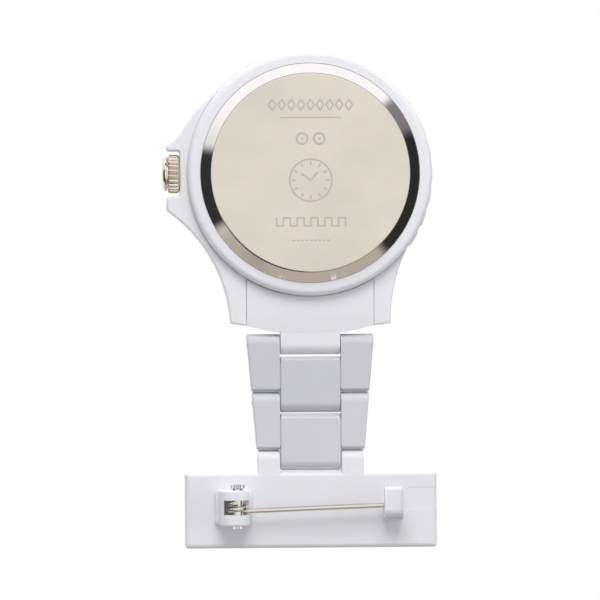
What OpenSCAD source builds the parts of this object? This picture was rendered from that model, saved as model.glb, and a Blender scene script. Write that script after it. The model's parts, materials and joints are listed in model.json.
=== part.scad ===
// Fob watch hanging from its pin bar: plastic bar with a brooch needle, two hinged
// links and an analogue quartz watch head. Units are millimetres, +Z is up.
// Origin: centre of the bar's back face. The backs face -Y, the dial faces +Y, the
// crown points to +X and twelve o'clock points down.
// Every shape is laid out flat first: x to the crown, y down the hanging watch, z
// towards the dial. The upright() module then hangs it.

/* [Pin bar] */
// Length of the bar
bar_w = 39.6; // [30:0.1:50]
// Height of the bar
bar_h = 11.9; // [8:0.1:16]
// Thickness of the bar and of the links
bar_t = 3.2; // [2.4:0.1:5]
// Corner radius of the bar
bar_corner = 0.8; // [0.2:0.1:3]
// Distance from the bar's middle line to the first hinge pin
first_pin_y = 7.85; // [6.8:0.05:10]

/* [Brooch needle] */
// Where the needle's axle stands along the bar
axle_x = 11.7; // [8:0.1:15]
// Radius of the needle's axle
axle_r = 0.85; // [0.5:0.05:1.1]
// How far the axle's middle stands off the bar's back
axle_z = 3.75; // [3.3:0.05:5]
// Radius of the needle's wire
needle_r = 0.41; // [0.3:0.01:0.6]
// Where the catch stands along the bar, on the other side
catch_x = 12.7; // [10:0.1:16]
// Width of the catch along the bar
catch_w = 2.9; // [2:0.1:5]
// Height of the catch off the bar's back
catch_h = 4.4; // [4.2:0.1:6]

/* [Links] */
// Distance between hinge pins
pitch = 9.1; // [8:0.1:12]
// Width of the middle block of a link
block_w = 9.2; // [7:0.1:11]
// Gap beside a middle block
side_gap = 0.2; // [0.1:0.05:0.4]
// Gap between an arm and the round end it faces
end_gap = 0.3; // [0.2:0.05:0.6]
// Overall width of the bar's ears
ears_w = 16.7; // [14:0.1:20]
// Overall width of the bracelet beside the watch head
bracelet_w = 19.8; // [16:0.1:22]
// Radius of the hinge pins
pin_r = 0.5; // [0.3:0.05:0.8]

/* [Watch case] */
// Distance from the bar's middle line to the middle of the watch head
case_y = 52.9; // [48:0.1:60]
// Radius of the case back's plastic rim
rim_r = 19.2; // [16:0.1:22]
// Radius of the case's middle
case_r = 19.3; // [16:0.1:22]
// Radius of the bezel
bezel_r = 19.75; // [17:0.05:23]
// Number of grip notches round the bezel
bezel_notches = 34; // [12:1:60]
// Radius of the steel back at the rim
back_r = 17.2; // [14:0.1:18]
// Radius of the steel back's flat
back_flat_r = 15.5; // [12:0.1:17]
// Width between the lugs
lug_gap = 20; // [16:0.5:24]
// Overall width across the lug tips
lugs_w = 25.2; // [22:0.1:30]
// Reach of the crown guards from the middle of the case
guard_x = 22.45; // [20:0.05:25]

/* [Crown] */
// Radius of the crown
crown_r = 3.1; // [2:0.05:4]
// Where the crown's inner face stands
crown_x = 20.7; // [20.4:0.05:22]
// Length of the crown
crown_l = 2.7; // [2:0.1:4]
// Number of knurls round the crown
crown_teeth = 24; // [12:1:40]

/* [Dial and hands] */
// Radius of the dial
dial_r = 15.75; // [12:0.05:17]
// Length of the hour hand
hour_l = 8; // [5:0.1:10]
// Length of the minute hand
minute_l = 11.8; // [8:0.1:13]
// Length of the seconds hand
seconds_l = 13; // [8:0.1:14]
// Minutes past ten that the hands show
shown_minutes = 9.6; // [0:0.1:59]
// Seconds that the hands show
shown_seconds = 35; // [0:1:59]

/* [Movement] */
// Radius of the movement's main plate
plate_r = 11.5; // [9:0.1:13]
// Centre distance of each pair in the running train
train_cd = 2.6; // [2.4:0.05:3]
// Centre distance of the motion work under the dial
motion_cd = 2.88; // [2.5:0.01:3.4]
// Radius of the button cell
cell_r = 3.4; // [2.9:0.1:4]
// Height of the button cell
cell_h = 2.6; // [1.6:0.1:2.8]

/* [Hidden] */
$fn = 64;
press = 0.01;
run = 0.05;

// Bar, links and hinge pins
half_t = bar_t / 2;
pin_y = [first_pin_y, first_pin_y + pitch, first_pin_y + 2 * pitch];
slot_w = block_w + 2 * side_gap;
flare = (bracelet_w - ears_w) / 2 / (pin_y[2] - pin_y[0]);
block_gap = 0.6;
groove = 0.25;
pin_proud = 0.08;

// Needle and catch
hinge_x = 12.2;
hinge_y = 0.55;
base_w = 5.9;
base_h = 5.6;
base_t = 1;
ear_w = 4.7;
ear_top = 5;
ear_round = 1.9;
coil_r = axle_r + needle_r + 0.04;
coil_slot = [hinge_y - 1.05, hinge_y + 1.25];
coil_slot_end = axle_x + coil_r + needle_r + 0.45;
axle_span = [hinge_y - 3.35, hinge_y + 3.7];
axle_head_r = 1.1;
axle_head_t = 0.6;
coil_y = hinge_y - 0.55;
coil_pitch = 0.86;
coil_turns = 1.5;
needle_z = axle_z - coil_r;
needle_tilt = 2.1;
needle_start = 9;
needle_shank = 20.3;
needle_tip = 2.7;
catch_y = [hinge_y - 1.6, hinge_y + 3.2];
catch_wall = 1.2;
catch_round = 1.3;
catch_roof = catch_h - 1.25;

// Heights through the watch head
rim_back = -2;
back_out = -3.6;
back_in = -3.1;
mid_front = 4.2;
neck_top = 6.7;
neck_r = 17.6;
bore_r = 15.9;
snap_r = 16.4;
glass_r = 16.4;
glass_seat_r = 16.92;
glass_back = 5.75;
glass_front = 7.15;
bezel_back = 4.35;
bezel_front = 7;
bezel_in = neck_r + 0.15;
notch_r = 1.25;
notch_depth = 0.25;
dial_back = 3.55;
dial_front = 3.95;
lug_back = -0.3;
lug_front = 4;
lug_tip_y = 29.35;
lug_seam_y = 28.95;
lug_flank_a = [35.7, 28.07, 23.2];
lug_flank_b = [-38.25, 29.86, 25.56];
spring_bar_y = 31.1;
spring_bar_z = 1.9;
spring_bar_r = 0.75;
spring_tip_r = 0.4;
spring_bar_bore = 0.53;
spring_bar_half = lug_gap / 2 - 0.4;
tip_l = 2;
tip_hold = 0.9;

// Crown and stem
crown_z = 1.6;
stem_r = 0.45;
tube_r = 1.05;
tube_span = [15.4, 22.2];
crown_bore = 1.55;
crown_floor = 22.35;
crown_seal_x = 20.95;
recess_x = 20.4;
recess_half = 3.55;
clutch_x = 6.2;
lever_x = 9.3;

// Movement levels
plate_z = [1.9, 2.6];
bridge_z = [-1.5, -1.05];
arbor_r = 0.1;
seconds_r = 0.15;
centre_r = 0.32;
cannon_r = 0.5;
pipe_r = 0.8;
third_dir = 60;
fifth_dir = 200;
rotor_cd = 2.38;
minute_dir = 0;
pillars = [[-1.6, 5.4], [3.6, -3.4], [-2.4, -4.6]];
cell_pos = [1.5, -7.4];
coil_x = -8.7;
m_fifth = 2 * train_cd / 48;
m_rotor = 2 * rotor_cd / 56;
m_third = 2 * train_cd / 68;
m_centre = 2 * train_cd / 72;
m_cannon = 2 * motion_cd / 48;
m_hour = 2 * motion_cd / 50;
third_pos = polar(train_cd, third_dir);
fifth_pos = polar(train_cd, fifth_dir);
rotor_pos = polar(train_cd + rotor_cd, fifth_dir);
minute_pos = polar(motion_cd, minute_dir);

// Angles of the hands, clockwise from twelve
seconds_turn = shown_seconds * 6;
minute_turn = shown_minutes * 6;
hour_turn = 300 + shown_minutes / 2;

// ---------- helpers ----------

function polar(r, a) = [r * cos(a), r * sin(a)];

// Outline of a wheel with n teeth of module m, one tooth centred on angle a
function teeth(n, m, a) = [
  for (i = [0 : n - 1], k = [[-0.27, -1.2], [-0.22, 0], [-0.1, 0.85], [0.1, 0.85], [0.22, 0], [0.27, -1.2]])
    polar(m * (n / 2 + k[1]), a + (i + k[0]) * 360 / n)
];

// Stands the flat layout up, so that it hangs from the bar
module upright() {
  rotate([-90, 0, 0]) children();
}

// The watch head's own frame
module at_head() {
  upright() translate([0, case_y, 0]) children();
}

module gear(n, m, a, z, h) {
  translate([0, 0, z]) linear_extrude(h) polygon(teeth(n, m, a));
}

module rod(r, z0, z1) {
  translate([0, 0, z0]) cylinder(r = r, h = z1 - z0);
}

module tube(r, bore, z0, z1) {
  difference() {
    rod(r, z0, z1);
    rod(bore, z0 - 1, z1 + 1);
  }
}

// A rod along x
module bar_x(r, x0, x1) {
  translate([x0, 0, 0]) rotate([0, 90, 0]) cylinder(r = r, h = x1 - x0);
}

module round_rect(w, h, r) {
  square([w - 2 * r, h], center = true);
  square([w, h - 2 * r], center = true);
  for (sx = [-1, 1], sy = [-1, 1])
    translate([sx * (w / 2 - r), sy * (h / 2 - r)]) circle(r);
}

// A plate of the links' thickness over a flat outline
module slab(points) {
  linear_extrude(bar_t) polygon(points);
}

// The full round of a hinge end, about the pin at y, between two x
module knuckle(y, x0, x1) {
  translate([0, y, half_t]) bar_x(half_t, x0, x1);
}

// Half of the bracelet's width, which grows towards the watch head
function half_width(y) = ears_w / 2 + flare * (y - pin_y[0]);

// One pair of arms from y0 to the pin at y1, with round ends
module arms(y0, y1) {
  for (s = [-1, 1]) scale([s, 1, 1]) {
    slab([
      [slot_w / 2, y0], [half_width(y0), y0],
      [half_width(y1), y1], [slot_w / 2, y1]
    ]);
    knuckle(y1, slot_w / 2, half_width(y1));
  }
}

// One H-shaped link: middle block about the pin at y0, arms to the pin at y1
module h_link(y0, y1) {
  arm_start = y0 + half_t + end_gap;
  block_end = y1 - half_t - block_gap;
  difference() {
    union() {
      arms(arm_start, y1);
      knuckle(y0, -block_w / 2, block_w / 2);
      translate([-block_w / 2, y0, 0]) cube([block_w, block_end - y0, bar_t]);
      translate([-half_width(arm_start) + 1, arm_start, 0])
        cube([2 * half_width(arm_start) - 2, block_end - arm_start, bar_t]);
    }
    for (s = [-1, 1], z = [-1, bar_t - groove])
      translate([s * (block_w + side_gap) / 2 - side_gap / 2, arm_start - 1, z])
        cube([side_gap, pitch, 1 + groove]);
    translate([0, y0, half_t]) bar_x(pin_r + run, -block_w, block_w);
    translate([0, y1, half_t]) bar_x(pin_r + press, -bracelet_w, bracelet_w);
  }
}

module hinge_pin(i) {
  x = half_width(pin_y[i]) + pin_proud;
  upright() translate([0, pin_y[i], half_t]) bar_x(pin_r, -x, x);
}

// Wire of radius r wound on radius big about z, n sides round the wire. A straight
// leg may run back from its start, lifted along z at its far end.
module coil(big, r, turns, rise, n, per_turn, leg = 0, lift = 0) {
  steps = round(turns * per_turn);
  tail = leg > 0 ? 1 : 0;
  points = [
    for (i = [-tail : steps], j = [0 : n - 1])
      let (a = 360 * max(i, 0) / per_turn, b = 360 * j / n, d = big + r * cos(b))
        i < 0 ? [d, -leg, lift + r * sin(b)]
              : [d * cos(a), d * sin(a), rise * i / per_turn + r * sin(b)]
  ];
  sides = [
    for (i = [0 : steps - 1 + tail], j = [0 : n - 1])
      let (p = i * n + j, q = i * n + (j + 1) % n)
        each [[p, q, q + n], [p, q + n, p + n]]
  ];
  first = [for (j = [n - 1 : -1 : 0]) j];
  last = [for (j = [0 : n - 1]) (steps + tail) * n + j];
  polyhedron(points, concat(sides, [first], [last]));
}

// ---------- pin bar and needle ----------

module pin_bar() {
  color("white") upright() difference() {
    union() {
      linear_extrude(bar_t) round_rect(bar_w, bar_h, bar_corner);
      for (s = [-1, 1]) scale([s, 1, 1]) {
        translate([slot_w / 2, 0, 0])
          cube([(ears_w - slot_w) / 2, pin_y[0], bar_t]);
        knuckle(pin_y[0], slot_w / 2, ears_w / 2);
      }
      hinge_block();
      needle_catch();
    }
    translate([0, pin_y[0], half_t])
      bar_x(pin_r + press, -bracelet_w, bracelet_w);
    translate([axle_x, 0, -axle_z]) rotate([90, 0, 0])
      cylinder(r = axle_r + press, h = bar_h, center = true);
  }
}

// Moulded block that holds the needle's axle between two ears
module hinge_block() {
  translate([hinge_x - base_w / 2, hinge_y - base_h / 2, -base_t])
    cube([base_w, base_h, base_t + 1]);
  difference() {
    translate([0, hinge_y + base_h / 2, 0]) rotate([90, 0, 0])
      linear_extrude(base_h) ear_outline();
    translate([0, coil_slot[0], -bar_h - base_t - 0.2])
      cube([coil_slot_end, coil_slot[1] - coil_slot[0], bar_h]);
  }
}

module ear_outline() {
  left = hinge_x - ear_w / 2;
  translate([left, ear_round - ear_top]) square([ear_w, ear_top - ear_round + 1]);
  translate([left + ear_round, -ear_top]) square([ear_w - 2 * ear_round, ear_top]);
  for (x = [left + ear_round, left + ear_w - ear_round])
    translate([x, ear_round - ear_top]) circle(ear_round);
}

// Hook over the needle's tip, open towards the watch head
module needle_catch() {
  mouth = catch_y[1] - catch_y[0] - catch_wall;
  translate([-catch_x - catch_w / 2, 0, 0]) rotate([90, 0, 90])
    linear_extrude(catch_w) difference() {
      union() {
        translate([catch_y[0], catch_round - catch_h]) square([catch_wall, catch_h]);
        translate([catch_y[0] + catch_round, -catch_h])
          square([catch_y[1] - catch_y[0] - 2 * catch_round, catch_h - catch_roof]);
        for (y = [catch_y[0] + catch_round, catch_y[1] - catch_round])
          translate([y, catch_round - catch_h]) circle(catch_round);
      }
      translate([catch_y[0] + catch_wall, -catch_roof]) square([mouth + 1, catch_roof]);
    }
}

// Rivet through the block's two ears, with its head towards the bracelet
module needle_axle() {
  color("silver") upright()
    translate([axle_x, axle_span[1], -axle_z]) rotate([90, 0, 0]) {
      cylinder(r = axle_r, h = axle_span[1] - axle_span[0]);
      cylinder(r = axle_head_r, h = axle_head_t);
    }
}

// Coil round the axle and the short straight leg that leaves it
module needle_spring() {
  leg = axle_x - needle_start - 0.06;
  color("silver") upright()
    translate([axle_x, coil_y, -axle_z]) rotate([-90, 0, 0]) rotate([0, 0, -90])
      coil(coil_r, needle_r, coil_turns, coil_pitch, 16, 24, leg, leg * tan(needle_tilt));
}

module needle() {
  color("silver") upright()
    translate([axle_x, coil_y, -needle_z]) rotate([0, 0, -needle_tilt])
      translate([needle_start - axle_x, 0, 0]) {
        bar_x(needle_r, -needle_shank, 0);
        translate([-needle_shank, 0, 0]) rotate([0, -90, 0])
          cylinder(r1 = needle_r, r2 = 0.04, h = needle_tip);
      }
}

// ---------- bracelet ----------

module hinge_pin_1() {
  color("silver") hinge_pin(0);
}

module hinge_pin_2() {
  color("silver") hinge_pin(1);
}

module hinge_pin_3() {
  color("silver") hinge_pin(2);
}

module link_2() {
  color("white") upright() h_link(pin_y[0], pin_y[1]);
}

module link_1() {
  color("white") upright() h_link(pin_y[1], pin_y[2]);
}

// Fills the space between the lugs, with a tongue for the last hinge pin
module end_link() {
  shoulder = pin_y[2] + half_t + end_gap;
  link_side = lug_gap / 2 - 0.05;
  color("white") upright() difference() {
    union() {
      knuckle(pin_y[2], -block_w / 2, block_w / 2);
      translate([-block_w / 2, pin_y[2], 0]) cube([block_w, 4, bar_t]);
      difference() {
        translate([0, 0, lug_back]) linear_extrude(lug_front - lug_back - 0.2) polygon([
          [-link_side, lug_seam_y], [-block_w / 2 - 1, shoulder],
          [block_w / 2 + 1, shoulder], [link_side, lug_seam_y],
          [link_side, case_y - case_r + 4.6], [-link_side, case_y - case_r + 4.6]
        ]);
        translate([0, case_y, 0]) cylinder(r = case_r + 0.05, h = 20, center = true);
      }
    }
    translate([0, pin_y[2], half_t]) bar_x(pin_r + run, -block_w, block_w);
    translate([0, spring_bar_y, spring_bar_z]) bar_x(spring_bar_r + 0.03, -lug_gap, lug_gap);
  }
}

module spring_bar_tube() {
  color("silver") upright() translate([0, spring_bar_y, spring_bar_z]) difference() {
    bar_x(spring_bar_r, -spring_bar_half, spring_bar_half);
    bar_x(spring_bar_bore, -lug_gap, lug_gap);
  }
}

module spring_bar_tips() {
  color("silver") upright() translate([0, spring_bar_y, spring_bar_z])
    for (s = [-1, 1]) scale([s, 1, 1])
      bar_x(spring_tip_r, spring_bar_half - tip_l, lug_gap / 2 + tip_hold);
}

module spring_bar_spring() {
  reach = spring_bar_half - tip_l - 0.5;
  color("silver") upright() translate([-reach, spring_bar_y, spring_bar_z])
    rotate([0, 90, 0]) coil(0.34, 0.1, 20, 2 * reach / 20, 6, 10);
}

// ---------- case ----------

// Plan of the case's middle: round, with two lugs and the crown guards
module case_plan() {
  circle(case_r);
  difference() {
    polygon([
      [14, -13.6], [17.5, -10.3], [20.9, -5.4], [guard_x - 0.5, -4.7],
      [guard_x, -4.3], [guard_x, 5.8], [lugs_w / 2, case_y - lug_tip_y],
      [lug_gap / 2, case_y - lug_seam_y], [0, 0]
    ]);
    translate([lug_flank_a[0], case_y - lug_flank_a[1]]) circle(lug_flank_a[2]);
  }
  difference() {
    polygon([
      [-16.8, 7.5], [-lugs_w / 2 - 0.1, case_y - lug_tip_y],
      [-lug_gap / 2, case_y - lug_seam_y], [0, 0]
    ]);
    translate([lug_flank_b[0], case_y - lug_flank_b[1]]) circle(lug_flank_b[2]);
  }
}

// Rounded rim that carries the steel back
module case_rim() {
  rotate_extrude() {
    translate([14, rim_back]) square([rim_r - 0.9 - 14, 3]);
    translate([14, rim_back + 0.9]) square([rim_r - 14, 2]);
    translate([rim_r - 0.9, rim_back + 0.9]) circle(0.9);
  }
}

module case_body() {
  color("white") at_head() difference() {
    union() {
      translate([0, 0, lug_back]) linear_extrude(mid_front - lug_back)
        scale([1, -1]) case_plan();
      case_rim();
      rod(neck_r, mid_front - 1, neck_top);
    }
    rod(back_r + 0.04, rim_back - 1, -1.2);
    rod(snap_r + 0.03, -1.3, 0);
    rod(bore_r, -1, neck_top + 1);
    rod(glass_seat_r, glass_back, neck_top + 1);
    rotate_extrude() translate([16.45, -1.3]) square([0.5, 0.6]);
    translate([recess_x, -recess_half, lug_back - 1]) cube([5, 2 * recess_half, 8]);
    translate([0, 0, lug_back - 1]) difference() {
      translate([-lug_gap / 2, -case_y, 0]) cube([lug_gap, case_y - 10, 8]);
      translate([0, 0, -1]) cylinder(r = case_r, h = 10);
    }
    translate([0, 0, crown_z]) bar_x(tube_r + press, 12, 24);
    translate([0, spring_bar_y - case_y, spring_bar_z])
      bar_x(spring_tip_r + run, -lug_gap / 2 - 1, lug_gap / 2 + 1);
  }
}

// Steel snap back: polished slope, flat and snap rim
module case_back() {
  color("tan") at_head() rotate_extrude() polygon([
    [0, back_out], [back_flat_r, back_out], [back_flat_r + 0.12, back_out + 0.06],
    [back_r, rim_back], [back_r, -1.25], [snap_r, -1.25], [snap_r, -0.2],
    [snap_r - 0.4, -0.2], [snap_r - 0.4, -1.6], [back_flat_r - 0.4, back_in], [0, back_in]
  ]);
}

module back_gasket() {
  color("black") at_head() rotate_extrude() translate([16.7, -0.97]) circle(0.21);
}

module bezel() {
  color("white") at_head() difference() {
    rotate_extrude() polygon([
      [bezel_in, 4.95], [18.5, 4.95], [18.5, bezel_back], [bezel_r - 0.35, bezel_back],
      [bezel_r, bezel_back + 0.35], [bezel_r, 5.9], [bezel_r - 0.8, bezel_front],
      [bezel_in + 0.2, bezel_front], [bezel_in, bezel_front - 0.2]
    ]);
    for (i = [0 : bezel_notches - 1]) rotate([0, 0, (i + 0.5) * 360 / bezel_notches])
      translate([bezel_r + notch_r - notch_depth, 0, 0]) cylinder(r = notch_r, h = 10);
  }
}

module bezel_spring() {
  color("silver") at_head() rotate_extrude() translate([18.05, 4.6]) circle(0.22);
}

module crystal() {
  color("lightblue", 0.4) at_head() rotate_extrude() polygon([
    [0, glass_back + 0.02], [glass_r, glass_back + 0.02], [glass_r, glass_front - 0.3],
    [glass_r - 0.3, glass_front], [0, glass_front]
  ]);
}

module crystal_gasket() {
  color("ivory") at_head() tube(glass_seat_r - press, glass_r + press, glass_back + 0.02, 6.6);
}

module chapter_ring() {
  color("white") at_head() rotate_extrude() polygon([
    [bore_r - 0.03, dial_front + 0.02], [bore_r - 0.03, glass_back - 0.03],
    [15.4, glass_back - 0.03], [14.7, dial_front + 0.02]
  ]);
}

module dial() {
  color("white") at_head() tube(dial_r, pipe_r + 0.15, dial_back, dial_front);
}

// ---------- hands ----------

// A hand along y: hub ring, then a tapered blade
module hand(hub, bore, z, h, length, w0, w1, tail) {
  difference() {
    union() {
      rod(hub, z, z + h);
      translate([0, 0, z]) linear_extrude(h * 0.6) polygon([
        [-w0 / 2, -tail], [w0 / 2, -tail], [w0 / 2, 0], [w1 / 2, length - w1],
        [0, length], [-w1 / 2, length - w1], [-w0 / 2, 0]
      ]);
    }
    rod(bore, z - 1, z + h + 1);
  }
}

module hour_hand() {
  color("black") at_head() rotate([0, 0, -hour_turn])
    hand(1.4, pipe_r + press, 4.15, 0.3, hour_l, 1.3, 0.9, 0);
}

module minute_hand() {
  color("black") at_head() rotate([0, 0, -minute_turn])
    hand(1.15, cannon_r + press, 4.62, 0.25, minute_l, 1, 0.6, 0);
}

module seconds_hand() {
  color("red") at_head() rotate([0, 0, -seconds_turn])
    hand(0.75, seconds_r + press, 5.05, 0.2, seconds_l, 0.36, 0.2, 4);
}

// ---------- crown ----------

module at_crown() {
  at_head() translate([0, 0, crown_z]) rotate([0, 90, 0]) children();
}

module crown() {
  knurl = crown_r - 0.28;
  color("silver") at_crown() difference() {
    union() {
      rod(knurl + 0.06, crown_x, crown_x + crown_l - 0.4);
      translate([0, 0, crown_x + 0.15]) linear_extrude(crown_l - 1) polygon([
        for (i = [0 : crown_teeth - 1], k = [[-0.3, 0], [-0.14, 0.28], [0.14, 0.28], [0.3, 0]])
          polar(knurl + k[1], (i + k[0]) * 360 / crown_teeth)
      ]);
      translate([0, 0, crown_x + crown_l - 0.75]) rotate_extrude() polygon([
        [0, 0], [crown_r - 0.05, 0], [crown_r - 0.05, 0.25], [crown_r - 0.25, 0.5],
        [crown_r - 0.8, 0.68], [0, 0.75]
      ]);
    }
    rod(crown_bore, crown_x - 1, crown_floor);
    rod(stem_r + press, crown_x - 1, crown_floor + 0.6);
  }
}

module crown_stem() {
  color("silver") at_crown() difference() {
    rod(stem_r, 5.8, crown_floor + 0.55);
    tube(1, 0.3, 7.6, 9.6);
  }
}

module crown_gasket() {
  color("black") at_crown() translate([0, 0, crown_seal_x]) rotate_extrude()
    translate([(tube_r + crown_bore) / 2, 0]) circle(0.22);
}

module crown_tube() {
  color("silver") at_crown() tube(tube_r, stem_r + run, tube_span[0], tube_span[1]);
}

module clutch_wheel() {
  color("silver") at_crown() difference() {
    union() {
      gear(12, 0.12, 0, clutch_x, 0.5);
      rod(0.62, clutch_x, clutch_x + 1);
    }
    rod(stem_r + press, 0, 20);
  }
}

module setting_lever() {
  color("silver") at_head() {
    translate([0, 0, 0.72]) linear_extrude(0.28) polygon([
      [8.9, -0.4], [9.7, -0.4], [10.2, 1.2], [9.6, 2.6], [8.6, 2.6], [8.3, 1.4]
    ]);
    translate([lever_x, 0, 0]) rod(0.12, 0.9, 1.27);
  }
}

module yoke() {
  color("silver") at_head() translate([0, 0, 0.4]) linear_extrude(0.26) polygon([
    [6.3, -2.6], [7.3, -2.6], [7.3, 0.8], [10.2, 3.1], [9.4, 3.9], [6.3, 1.4]
  ]);
}

// ---------- movement ----------

module movement_holder() {
  color("white") at_head() difference() {
    tube(bore_r - 0.1, plate_r + 0.15, -1.6, dial_back - 0.05);
    translate([10, -1.4, -2]) cube([7, 2.8, 5]);
  }
}

module main_plate() {
  color("gold") at_head() difference() {
    union() {
      rod(plate_r, plate_z[0], plate_z[1]);
      translate([minute_pos[0], minute_pos[1], 0]) rod(0.25, plate_z[0], 3.4);
    }
    rod(centre_r + 0.05, 0, 4);
    for (p = [third_pos, fifth_pos, rotor_pos])
      translate([p[0], p[1], 0]) rod(arbor_r + 0.03, 0, 2.3);
    translate([5.4, -1.1, 0]) cube([8, 2.2, 4]);
  }
}

module train_bridge() {
  color("silver") at_head() difference() {
    union() {
      translate([0, 0, bridge_z[0]]) linear_extrude(bridge_z[1] - bridge_z[0]) bridge_plan();
      for (p = pillars) translate([p[0], p[1], 0]) rod(0.85, bridge_z[1] - 0.1, plate_z[0]);
    }
    for (p = pillars) translate([p[0], p[1], 0]) rod(0.42, -3, 1);
    for (p = [third_pos, fifth_pos, rotor_pos])
      translate([p[0], p[1], 0]) rod(arbor_r + 0.03, -1.4, 0);
    rod(seconds_r + 0.03, -1.4, 0);
  }
}

module bridge_plan() {
  difference() {
    union() {
      polygon([
        pillars[0], [3, 4], pillars[1], pillars[2], [-6, -2.6], [-5, 0.6]
      ]);
      for (p = pillars) translate(p) circle(1.1);
      translate(third_pos) circle(1);
      translate(rotor_pos) circle(1.2);
    }
    translate(cell_pos) circle(cell_r + 0.25);
  }
}

module bridge_screws() {
  color("silver") at_head() for (p = pillars) translate([p[0], p[1], 0]) difference() {
    union() {
      rod(0.75, -1.85, bridge_z[0]);
      rod(0.41, bridge_z[0], 0.9);
    }
    translate([-1, -0.12, -2]) cube([2, 0.24, 0.35]);
  }
}

module battery_cell() {
  color("silver") at_head() translate([cell_pos[0], cell_pos[1], -1.45]) {
    rod(cell_r, 0, cell_h - 0.4);
    rod(cell_r - 0.5, cell_h - 0.5, cell_h);
  }
}

module battery_clamp() {
  color("gold") at_head() translate([cell_pos[0], cell_pos[1], -1.68]) rotate([0, 0, 20])
    linear_extrude(0.18) round_rect(6.2, 1.5, 0.5);
}

module battery_insulator() {
  color("orange") at_head() translate([cell_pos[0], cell_pos[1], 0]) rod(cell_r, 1.2, 1.3);
}

module circuit_board() {
  color("green") at_head() translate([0, 0, -0.6]) linear_extrude(0.25) difference() {
    intersection() {
      circle(plate_r - 0.3);
      translate([2.2, 3.4]) square([12, 12]);
    }
    translate(third_pos) circle(1.4);
  }
}

module quartz_can() {
  color("silver") at_head() translate([3.9, 6.6, 0.45]) bar_x(0.75, 0, 4.6);
}

module driver_chip() {
  color("black") at_head() translate([6.4, 3.7, -0.34]) cube([2, 2, 0.6]);
}

module coil_winding() {
  color("chocolate") at_head() translate([coil_x, 0, 0.2]) rotate([90, 0, 0]) difference() {
    cylinder(r = 1.15, h = 7, center = true);
    translate([-0.67, -0.27, -10]) cube([1.34, 0.54, 20]);
  }
}

module coil_core() {
  color("gray") at_head() translate([coil_x - 0.65, -5, -0.04]) cube([1.3, 10, 0.48]);
}

module stator() {
  color("gray") at_head() translate([0, 0, -0.45]) difference() {
    union() {
      linear_extrude(0.4) polygon([
        [-9.4, 4], [-9.4, 5.2], [-7.6, 5.2], [-3.7, -0.3], [-3.4, -1.7],
        [-4, -3.3], [-7.2, -5.2], [-9.4, -5.2], [-9.4, -4], [-7.4, -3.9],
        [-6.2, -2.6], [-6.2, -0.6], [-7.9, 4]
      ]);
      translate([rotor_pos[0], rotor_pos[1], 0]) rod(1.95, 0, 0.4);
    }
    translate([rotor_pos[0], rotor_pos[1], 0]) rod(1.15, -1, 1);
  }
}

// An arbor with fine pivots at both ends
module arbor(z0 = -1.35, z1 = 2.25) {
  rod(arbor_r, z0, z1);
}

module rotor() {
  color("gray") at_head() translate([rotor_pos[0], rotor_pos[1], 0]) {
    arbor();
    rod(0.9, -0.6, 0.2);
    gear(8, m_rotor, fifth_dir + 180, 0.3, 0.5);
  }
}

module fifth_wheel() {
  color("gold") at_head() translate([fifth_pos[0], fifth_pos[1], 0]) {
    arbor();
    gear(48, m_rotor, fifth_dir + 3.75, 0.45, 0.2);
    gear(8, m_fifth, fifth_dir + 180 + 22.5, 0.7, 0.45);
  }
}

module fourth_wheel() {
  color("gold") at_head() {
    rod(seconds_r, -1.35, 5.27);
    gear(40, m_fifth, fifth_dir, 0.85, 0.2);
    gear(8, m_third, third_dir, -0.15, 0.5);
  }
}

module third_wheel() {
  color("gold") at_head() translate([third_pos[0], third_pos[1], 0]) {
    arbor();
    gear(60, m_third, third_dir + 180 + 3, 0, 0.2);
    gear(8, m_centre, third_dir + 180, 1.25, 0.45);
  }
}

module centre_wheel() {
  color("gold") at_head() difference() {
    union() {
      gear(64, m_centre, third_dir + 2.8125, 1.38, 0.2);
      rod(centre_r, 1.2, 3.6);
    }
    rod(seconds_r + run, 0, 5);
  }
}

module cannon_pinion() {
  color("silver") at_head() difference() {
    union() {
      gear(12, m_cannon, minute_dir, 2.68, 0.36);
      rod(cannon_r, 2.68, 4.88);
    }
    rod(centre_r + 0.02, 2, 6);
  }
}

module minute_wheel() {
  color("gold") at_head() translate([minute_pos[0], minute_pos[1], 0]) difference() {
    union() {
      gear(36, m_cannon, minute_dir + 180 + 5, 2.72, 0.22);
      gear(10, m_hour, minute_dir + 180, 2.9, 0.44);
    }
    rod(0.25 + run, 2, 4);
  }
}

module hour_wheel() {
  color("gold") at_head() difference() {
    union() {
      gear(40, m_hour, minute_dir + 4.5, 3.1, 0.2);
      rod(pipe_r, 3.1, 4.48);
    }
    rod(cannon_r + run, 2, 6);
  }
}

module dial_washer() {
  color("gold") at_head() tube(1.9, pipe_r + 0.1, 3.36, 3.46);
}

pin_bar();
needle_axle();
needle_spring();
needle();
hinge_pin_1();
hinge_pin_2();
hinge_pin_3();
link_2();
link_1();
end_link();
spring_bar_tube();
spring_bar_tips();
spring_bar_spring();
case_body();
case_back();
back_gasket();
bezel();
bezel_spring();
crystal();
crystal_gasket();
chapter_ring();
dial();
hour_hand();
minute_hand();
seconds_hand();
crown();
crown_stem();
crown_gasket();
crown_tube();
clutch_wheel();
setting_lever();
yoke();
movement_holder();
main_plate();
train_bridge();
bridge_screws();
battery_cell();
battery_clamp();
battery_insulator();
circuit_board();
quartz_can();
driver_chip();
coil_winding();
coil_core();
stator();
rotor();
fifth_wheel();
fourth_wheel();
third_wheel();
centre_wheel();
cannon_pinion();
minute_wheel();
hour_wheel();
dial_washer();
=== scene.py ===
import json
import math

import bmesh
import bpy
from mathutils import Matrix, Vector


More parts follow.
